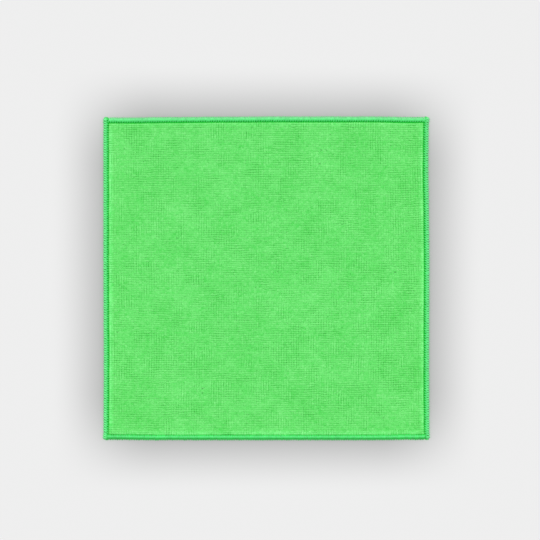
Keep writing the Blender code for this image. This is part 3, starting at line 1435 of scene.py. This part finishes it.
@dataclass
class Yarn:
    """One thread: a round tube of uneven thickness along a path."""

    name: str
    path: np.ndarray
    radii: np.ndarray
    plot: Plot
    roundness: int = 1

    MAP = "yarn"
    AROUND_MARGIN = 0.06  # share of a strip's width that is free at each side
    ALONG_MARGIN = 0.01  # and of its length at each end

    def build(self) -> bpy.types.Object:
        """Sweep the thread along its path, as a closed mesh.

        Returns:
            The thread.
        """
        curve = bpy.data.curves.new(self.name, "CURVE")
        curve.dimensions = "3D"
        curve.twist_mode = "MINIMUM"
        curve.bevel_depth = MM
        curve.bevel_resolution = self.roundness
        curve.use_fill_caps = True
        spline = curve.splines.new("POLY")
        spline.points.add(len(self.path) - 1)
        corners = np.column_stack([self.path, np.ones(len(self.path))])
        spline.points.foreach_set("co", corners.ravel())
        spline.points.foreach_set("radius", self.radii / MM)
        thread = bpy.data.objects.new(self.name, curve)
        bpy.context.scene.collection.objects.link(thread)
        take_up(thread)
        bpy.ops.object.convert(target="MESH")
        bpy.ops.object.mode_set(mode="EDIT")
        bpy.ops.mesh.select_all(action="SELECT")
        bpy.ops.mesh.remove_doubles(threshold=TINY)
        bpy.ops.mesh.normals_make_consistent(inside=False)
        bpy.ops.object.mode_set(mode="OBJECT")
        bpy.ops.object.shade_smooth()
        unrolled = map_places(thread)[:, ::-1]  # a swept curve's own map runs along it first
        self._measure_map(thread, unrolled)
        self._lay_out(thread, unrolled)
        return thread

    def _measure_map(self, thread: bpy.types.Object, unrolled: np.ndarray) -> None:
        """Give the thread a map in millimetres: once round it by its length.

        Args:
            thread: the thread's object.
            unrolled: how far round and along the thread each face's corners are, from 0 to 1.
        """
        steps = np.linalg.norm(np.diff(self.path, axis=0), axis=1)
        thread.data.uv_layers[0].name = self.MAP
        keep_map(thread, self.MAP, unrolled * (1.0, steps.sum() / MM))

    def _lay_out(self, thread: bpy.types.Object, unrolled: np.ndarray) -> None:
        """Lay the thread out in strips side by side, on the map that textures are baked through.

        Args:
            thread: the thread's object.
            unrolled: how far round and along the thread each face's corners are, from 0 to 1.
        """
        face = np.repeat(
            np.arange(len(thread.data.polygons)),
            [polygon.loop_total for polygon in thread.data.polygons],
        )
        around, along = unrolled[:, 0], unrolled[:, 1] * self.plot.strips
        middle = np.bincount(face, along) / np.bincount(face)
        strip = np.clip(np.floor(middle), 0, self.plot.strips - 1)[face]
        inside = self.AROUND_MARGIN + (1.0 - 2.0 * self.AROUND_MARGIN) * around
        share = (strip + inside) / self.plot.strips
        laid_x = self.plot.start + (self.plot.end - self.plot.start) * share
        past = np.clip(along - strip, 0.0, 1.0)
        laid_y = self.ALONG_MARGIN + (1.0 - 2.0 * self.ALONG_MARGIN) * past
        keep_map(thread, BAKE_MAP, np.column_stack([laid_x, laid_y]))


@dataclass
class OverlockRun:
    """Three threads overlocked along one edge of the cloth."""

    line: EdgeLine
    seed: int
    pitch: float = 2.2 * MM
    tuck: float = 0.60 * MM
    flare: float = 0.32 * MM
    flare_place: float = 3.0 * MM
    flare_reach: float = 2.4 * MM
    end_round: float = 0.42
    round_reach: float = 1.6 * MM
    side_fullness: float = 1.15
    end_fullness: float = 1.38
    cloth_middle: float = 1.42

    # The stitches' points, and every length below, are in millimetres.
    UPPER = (
        StitchPoint(0.02, 4.85, 1.48, 0.25),
        StitchPoint(0.05, 4.20, 1.90, 0.33),
        StitchPoint(0.05, 3.50, 2.22, 0.41),
        StitchPoint(0.01, 2.70, 2.40, 0.45),
        StitchPoint(-0.03, 1.90, 2.24, 0.45),
        StitchPoint(-0.06, 1.10, 1.82, 0.41),
        StitchPoint(-0.07, 0.42, 1.42, 0.38),
        StitchPoint(-0.03, 0.16, 1.30, 0.37),
        StitchPoint(0.06, 0.08, 1.26, 0.37),
        StitchPoint(0.15, 0.16, 1.31, 0.37),
        StitchPoint(0.19, 0.42, 1.44, 0.39),
        StitchPoint(0.22, 1.10, 1.86, 0.43),
        StitchPoint(0.31, 1.90, 2.28, 0.47),
        StitchPoint(0.49, 2.70, 2.44, 0.49),
        StitchPoint(0.70, 3.50, 2.26, 0.43),
        StitchPoint(0.87, 4.20, 1.94, 0.36),
        StitchPoint(0.96, 4.85, 1.50, 0.27),
        StitchPoint(1.00, 4.98, 1.38, 0.25),
    )
    LOWER = (
        StitchPoint(0.06, 4.50, 0.66, 0.28),
        StitchPoint(0.04, 3.50, 0.46, 0.40),
        StitchPoint(-0.02, 2.60, 0.42, 0.42),
        StitchPoint(-0.07, 1.70, 0.46, 0.41),
        StitchPoint(-0.09, 0.95, 0.66, 0.38),
        StitchPoint(-0.05, 0.68, 0.86, 0.37),
        StitchPoint(0.04, 0.58, 0.90, 0.37),
        StitchPoint(0.13, 0.68, 0.87, 0.37),
        StitchPoint(0.17, 0.95, 0.68, 0.39),
        StitchPoint(0.26, 1.70, 0.47, 0.43),
        StitchPoint(0.44, 2.60, 0.44, 0.44),
        StitchPoint(0.66, 3.50, 0.46, 0.42),
        StitchPoint(0.88, 4.50, 0.66, 0.30),
    )
    NEEDLE = (
        StitchPoint(0.00, 4.88, 1.05, 0.17),
        StitchPoint(0.20, 4.84, 1.28, 0.19),
        StitchPoint(0.50, 4.82, 1.32, 0.20),
        StitchPoint(0.80, 4.84, 1.28, 0.19),
    )
    LOWER_OFFSET = 0.5  # share of a stitch by which the lower loops trail the upper ones
    # Where the legs of the loops are more evenly apart: the advance midway between them,
    # insets, and how much wider or narrower apart they get at each.
    OUTER_LEGS = (0.06, (0.08, 0.42, 1.10, 1.90, 2.70), (1.0, 1.9, 1.75, 1.4, 1.0))
    INNER_LEGS = (0.48, (3.2, 4.2, 4.9), (1.0, 0.65, 1.0))
    MARGINS = {Side.LEFT: (0.15, 0.65), Side.RIGHT: (0.50, 0.10)}  # at the bottom and the top
    TURNED_SIDES = (Side.BOTTOM,)  # where the loops are turned down to the floor
    # Insets, and the most that the upper loops' height is at each.
    TURNED_ROOF = ((0.08, 0.42, 1.10, 1.90, 2.70, 3.50), (0.45, 0.62, 1.05, 1.65, 2.18, 2.42))
    TURNED_SEAT = 0.95  # inset of the lower loops there, under the upper ones
    TURNED_BASE = 0.46  # and their height
    TURNED_RADIUS = 0.40  # the least that the upper loops are thick there
    END_START = 0.10  # how far back from the end of a side run its stitches begin to rise
    END_SLOPE = 0.95  # how steeply they rise from there
    FLARE_END = 4.6  # inset at which a side run's stitches don't stand out sideways any more
    STITCH_SLIP = 0.03  # unevenness of where stitches lie, as a share of one
    POINT_SLIP = 0.012  # and of where their points lie
    INSET_SPREAD = 0.06  # unevenness of stitches in and out, in millimetres
    HEIGHT_SPREAD = 0.03  # and up and down
    FULLNESS_SPREAD = 0.05  # unevenness of their thickness, as a share
    SUNK = Fade(0.1375, 0.6875)  # how sunk a point is, by how far it is from the middle height
    OUTER_SHADE = Fade(0.9, 1.7, first=0.6)  # painted shade on sunk points, by inset
    # painted shade toward the groove, by inset
    INNER_SHADE = Fade(1.4, 4.0, first=0.0, last=1.0)
    # on the bottom run the painted shade toward the groove starts further in, where the light falls
    # into it
    TURNED_SHADE = Fade(3.3, 4.2, first=0.0, last=1.3)
    INNER_SHARE = 0.6  # share of the inner painted shade that the other points have
    # painted shade on the outer side of the top and bottom runs, strongest on the bottom run, which
    # faces away from the light
    OUTERMOST_SHADES = {Side.TOP: Fade(1.9, 2.9, first=0.16), Side.BOTTOM: Fade(1.9, 2.9)}
    END_SHADE = Fade(0.0, 2.6, first=0.4)  # painted shade added near a side run's end
    END_SEAT_SHADE = Fade(2.0, 6.0, first=0.6)  # and painted shade near it, beside the run that ends under it
    SEATED = Fade(3.2, 4.2, first=0.0, last=1.0)  # how fully the latter counts, by inset
    RIMS = {  # how pale the thread is, by inset: painted sheen toward the outer edge
        Side.TOP: Fade(0.6, 2.6, first=0.85),
        Side.RIGHT: Fade(0.6, 2.6, first=0.45),
        Side.LEFT: Fade(0.6, 2.6, first=0.25),
        Side.BOTTOM: Fade(0.6, 1.5, first=0.80),
    }
    END_RIM = Fade(1.0, 2.0, first=0.5)  # the least painted sheen near a side run's end
    WRAP_MIDDLE = 2.30  # inset of the middle of a side run's end wrap
    WRAP_HALF = 1.80  # and half its width
    WRAP_STEPS = 9  # points of the thread each time that it crosses
    # Its height each time that it crosses, and how far back from the end it lies.
    WRAP_TURNS = ((0.45, 1.10), (0.50, 0.50), (0.95, 0.72), (1.42, 1.15), (1.86, 1.65), (2.20, 2.25))
    WRAP_ROUND = 0.35  # share of the wrap's height lost towards its two sides
    WRAP_CORNER = 0.80  # how much further back the wrap lies at its two sides
    WRAP_RADIUS = 0.43
    WRAP_ROUNDNESS = 1
    SECTION_MIDDLE = 2.5  # inset of the middle of the edging's section
    ROUNDNESS = {Thread.UPPER_LOOPER: 1, Thread.LOWER_LOOPER: 1, Thread.NEEDLE: 0}
    PLOTS = {
        Thread.UPPER_LOOPER: Plot(0.00, 0.42, strips=8),
        Thread.LOWER_LOOPER: Plot(0.42, 0.80, strips=7),
        Thread.NEEDLE: Plot(0.80, 0.92, strips=4),
    }
    WRAP_PLOTS = (Plot(0.92, 0.96, strips=1), Plot(0.96, 1.00, strips=1))  # at its two ends

    def build(self, material: bpy.types.Material) -> bpy.types.Object:
        """Model the run's threads as one piece.

        Args:
            material: the thread's finish.

        Returns:
            The piece.
        """
        draws = np.random.default_rng(self.seed)
        stitches = (*self._loops(), self.NEEDLE)
        threads = [self._thread(thread, stitch, draws) for thread, stitch in zip(Thread, stitches)]
        if self.line.side.upright:
            threads += [self._end_wrap(end) for end in self._sewn_ends()]
        take_up(*threads)
        bpy.ops.object.join()
        run = bpy.context.object
        run.name = self.line.side.value.replace("edging", "overlock")
        self._keep_measures(run)
        dress(run, material)
        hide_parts(self.line.side.value)
        report_piece(run)
        return run

    def _loops(self) -> tuple:
        """The upper and the lower loops of one stitch, turned down where the side has that.

        Returns:
            The upper looper's points and the lower looper's.
        """
        upper, lower = self.UPPER, self.LOWER
        if not self.line.side.upright:
            upper = self._evened(upper, self.OUTER_LEGS)
        if self.line.side in self.TURNED_SIDES:
            upper = tuple(
                point._replace(
                    height=min(point.height, np.interp(point.inset, *self.TURNED_ROOF)),
                    radius=max(point.radius, self.TURNED_RADIUS),
                )
                for point in self._evened(upper, self.INNER_LEGS)
            )
            lower = tuple(
                point._replace(
                    inset=max(point.inset, self.TURNED_SEAT), height=min(point.height, self.TURNED_BASE)
                )
                for point in lower
            )
        return upper, lower

    @staticmethod
    def _evened(stitch: tuple, legs: tuple) -> tuple:
        """A thread's points with the two legs of its loops more evenly apart.

        Args:
            stitch: the points within one stitch.
            legs: the advance midway between the legs, insets, and how much wider or
                narrower apart they get at each.

        Returns:
            The moved points.
        """
        middle, insets, factors = legs
        return tuple(
            point._replace(
                advance=middle + (point.advance - middle) * np.interp(point.inset, insets, factors)
            )
            for point in stitch
        )

    def _thread(
        self, thread: Thread, stitch: tuple, draws: np.random.Generator
    ) -> bpy.types.Object:
        """One thread, carried over every stitch of the run.

        Args:
            thread: which thread it is.
            stitch: its points within one stitch.
            draws: the source of unevenness.

        Returns:
            The thread.
        """
        start, end = self._sewn_ends()
        count = round((end - start) / self.pitch)
        pitch = (end - start) / count
        lower = thread is Thread.LOWER_LOOPER
        steps, insets, heights, radii = np.array(stitch).T
        advance = np.arange(count)[:, None] + steps + (self.LOWER_OFFSET if lower else 0.0)
        advance = advance + draws.normal(0.0, self.STITCH_SLIP, (count, 1))
        advance = advance + draws.normal(0.0, self.POINT_SLIP, advance.shape)
        inset = insets + draws.normal(0.0, self.INSET_SPREAD, (count, 1))
        fullness = self.side_fullness if self.line.side.upright else self.end_fullness
        uneven = fullness * (1.0 + draws.normal(0.0, self.FULLNESS_SPREAD, (count, 1)))
        radius = radii * uneven
        height = heights + draws.normal(0.0, self.HEIGHT_SPREAD, (count, 1))
        height = height + (-1.0 if lower else 1.0) * (1.0 - fullness) * radii
        inset, height, radius = inset.ravel(), height.ravel(), radius.ravel()
        travelled = np.clip(advance.ravel() * pitch, 0.0, end - start)
        along = start + travelled if self.line.side.sewn > 0 else end - travelled
        if self.line.side.upright:
            from_end = np.minimum(along - start, end - along) / MM
            height = np.minimum(height, self.END_SLOPE * (from_end - self.END_START))
        yarn = partial(self._yarn, thread.value, self.PLOTS[thread], self.ROUNDNESS[thread])
        return yarn(along, inset, height, radius)

    def _sewn_ends(self) -> tuple:
        """Where the stitches begin and end along the edge.

        Returns:
            The two places. Side runs stop just inside their node, the others run on under
            the side runs.
        """
        start, end = self.line.ends
        if self.line.side.upright:
            bottom, top = self.MARGINS[self.line.side]
            return start + bottom * MM, end - top * MM
        return start - self.tuck, end + self.tuck

    def _yarn(
        self,
        name: str,
        plot: Plot,
        roundness: int,
        along: np.ndarray,
        inset: np.ndarray,
        height: np.ndarray,
        radius: np.ndarray,
    ) -> bpy.types.Object:
        """A thread through points given along the edge and in from it.

        Args:
            name: the thread's name.
            plot: its part of the bake's map.
            roundness: how round its section is.
            along: distances along the edge, in metres.
            inset: distances in from the edge, in millimetres.
            height: heights, in millimetres.
            radius: the thread's radii, in millimetres.

        Returns:
            The thread.
        """
        if self.line.side.upright:
            start, end = self._sewn_ends()
            from_end = np.minimum(along - start, end - along)
            bulge = np.exp(-(((from_end - self.flare_place) / self.flare_reach) ** 2))
            ear = self.flare / MM * bulge * (1.0 - inset / self.FLARE_END)
            crown = self.end_round * np.clip(1.0 - from_end / self.round_reach, 0.0, 1.0) ** 2
            inset = inset - ear - (inset - self.SECTION_MIDDLE) * crown
        x, y = self.line.place(along, inset * MM)
        height = np.maximum(height, radius)
        path = np.column_stack([x, y, height * MM])
        return Yarn(name, path, radius * MM, plot, roundness).build()

    def _end_wrap(self, end: float) -> bpy.types.Object:
        """The thread drawn together over the end of a side run, back and forth.

        Args:
            end: where the run ends, along the edge.

        Returns:
            The thread.
        """
        outward = math.copysign(1.0, end)
        swing = np.linspace(-math.pi / 2, math.pi / 2, self.WRAP_STEPS)
        crossing = self.WRAP_MIDDLE + self.WRAP_HALF * np.sin(swing)
        aside = 1.0 - np.cos(swing)
        dome = 1.0 - self.WRAP_ROUND * aside
        insets, heights, backs = [], [], []
        for number, (height, back) in enumerate(self.WRAP_TURNS):
            way = 1 if number % 2 else -1
            insets.append(crossing[::way])
            heights.append(self.cloth_middle + (height - self.cloth_middle) * dome[::way])
            backs.append(back + self.WRAP_CORNER * aside)
        inset, height, back = (np.concatenate(column) for column in (insets, heights, backs))
        along = end - outward * back * MM
        radius = np.full(len(inset), self.WRAP_RADIUS)
        plot = self.WRAP_PLOTS[end > 0.0]
        return self._yarn("end_wrap", plot, self.WRAP_ROUNDNESS, along, inset, height, radius)

    def _keep_measures(self, run: bpy.types.Object) -> None:
        """Store the painted shade of each point, by how deep in the edging it lies, and how near its
        rim it is, for the painted sheen there.

        Args:
            run: the joined threads.
        """
        places = vertex_places(run)
        side = self.line.side
        along, across = (1, 0) if side.upright else (0, 1)
        inset = (places[:, across] - self.line.edge(places[:, along])) * side.inward / MM
        sunk = self.SUNK.at(np.abs(places[:, 2] / MM - self.cloth_middle))
        inner = (self.TURNED_SHADE if side in self.TURNED_SIDES else self.INNER_SHADE).at(inset)
        depth = sunk * np.maximum(inner, self.OUTER_SHADE.at(inset)) + self.INNER_SHARE * inner
        rim = self.RIMS[side].at(inset)
        if side in self.OUTERMOST_SHADES:
            depth += self.OUTERMOST_SHADES[side].at(inset)
        if side.upright:
            start, end = self._sewn_ends()
            from_end = np.minimum(places[:, along] - start, end - places[:, along]) / MM
            depth += self.END_SHADE.at(from_end)
            depth += self.END_SEAT_SHADE.at(from_end) * self.SEATED.at(inset)
            rim = np.maximum(rim, self.END_RIM.at(from_end))
        keep_measures(run, depth=np.clip(depth, 0.0, 1.0), rim=rim)


# ---------------------------------------------------------------- the studio


@dataclass
class Studio:
    """A pale floor, soft light from above, and a camera straight over the cloth."""

    outline: Outline
    floor_half: float = 12.0
    floor_drop: float = 0.05 * MM
    key_elevation: float = math.radians(50.0)
    key_softness: float = math.radians(30.0)
    key_share: float = 0.50
    sky_share: float = 0.67
    lens: float = 85.0
    sensor: float = 36.0
    cloth_pixels: float = 326.6
    cloth_middle_pixel: tuple = (266.4, 278.4)

    def build(self, pieces: list) -> None:
        """Set up the floor, the light and the camera.

        Args:
            pieces: the pieces of the cloth.
        """
        floor = self._floor()
        self._sky()
        self._sun("key_light", pieces, casts_shadows=True)
        self._sun("floor_wash", [floor], casts_shadows=False)
        self._camera()

    def _floor(self) -> bpy.types.Object:
        """A wide plane just under the cloth.

        Returns:
            The floor.
        """
        deselect_all()
        bpy.ops.mesh.primitive_plane_add(size=2 * self.floor_half)
        floor = bpy.context.object
        floor.name = "studio_floor"
        bpy.ops.transform.translate(value=(0.0, 0.0, -self.floor_drop))
        bpy.ops.object.transform_apply(location=True)
        finish = FloorFinish(self.outline.half_width, self.outline.half_length)
        floor.data.materials.append(finish.build())
        return floor

    def _sky(self) -> None:
        """An even pale sky."""
        world = bpy.data.worlds.new("soft_sky")
        world.use_nodes = True
        sky = world.node_tree.nodes["Background"]
        sky.inputs["Color"].default_value = (1.0, 1.0, 1.0, 1.0)
        sky.inputs["Strength"].default_value = self.sky_share
        bpy.context.scene.world = world

    def _sun(self, name: str, lit: list, casts_shadows: bool) -> None:
        """One wide soft light from the side of the top edge, for some objects alone.

        The floor gets its own light without shadows, because the cloth's soft shade on it
        is in the floor's finish.

        Args:
            name: the light's name.
            lit: the objects that it lights.
            casts_shadows: whether its light is stopped by what lies in its way.
        """
        deselect_all()
        bpy.ops.object.light_add(type="SUN")
        lamp = bpy.context.object
        lamp.name = name
        lamp.data.energy = math.pi * self.key_share / math.sin(self.key_elevation)
        lamp.data.angle = self.key_softness
        lamp.data.use_shadow = casts_shadows
        lamp.rotation_euler = (self.key_elevation - math.pi / 2, 0.0, 0.0)
        receivers = bpy.data.collections.new(name + "_lit")
        for obj in lit:
            receivers.objects.link(obj)
        lamp.light_linking.receiver_collection = receivers

    def _camera(self) -> None:
        """A camera that looks straight down and frames the cloth as the picture does."""
        to_metres = 2 * self.outline.half_width / self.cloth_pixels
        middle = PICTURE_SIDE / 2
        x = (middle - self.cloth_middle_pixel[0]) * to_metres
        y = (self.cloth_middle_pixel[1] - middle) * to_metres
        distance = self.lens / self.sensor * PICTURE_SIDE * to_metres
        deselect_all()
        top = CAD_BOX[1].z
        bpy.ops.object.camera_add(location=(x, y, distance + top), rotation=(0.0, 0.0, 0.0))
        camera = bpy.context.object
        camera.name = "camera"
        camera.data.lens = self.lens
        camera.data.sensor_width = self.sensor
        bpy.context.scene.camera = camera
        bpy.context.scene.view_settings.view_transform = "Standard"
        bpy.context.scene.cycles.denoising_prefilter = "NONE"  # keeps the fine stitches


def main() -> None:
    """Dress the cloth, from its ground knit to the studio round it."""
    logging.basicConfig(level=logging.INFO, format="%(name)s: %(message)s")
    outline = Outline()
    surface = Surface()
    pile = PileFinish().build()
    thread = ThreadFinish().build()
    ground = GroundSheet(outline, surface)
    sheet = ground.build(pile)
    bands = LoopedPile(outline, surface).build(pile)
    runs = [
        OverlockRun(outline.lines[side], THREAD_SEED + number).build(thread)
        for number, side in enumerate(Side)
    ]
    Studio(outline).build([sheet, *bands, *runs])


if __name__ == "__main__":
    main()
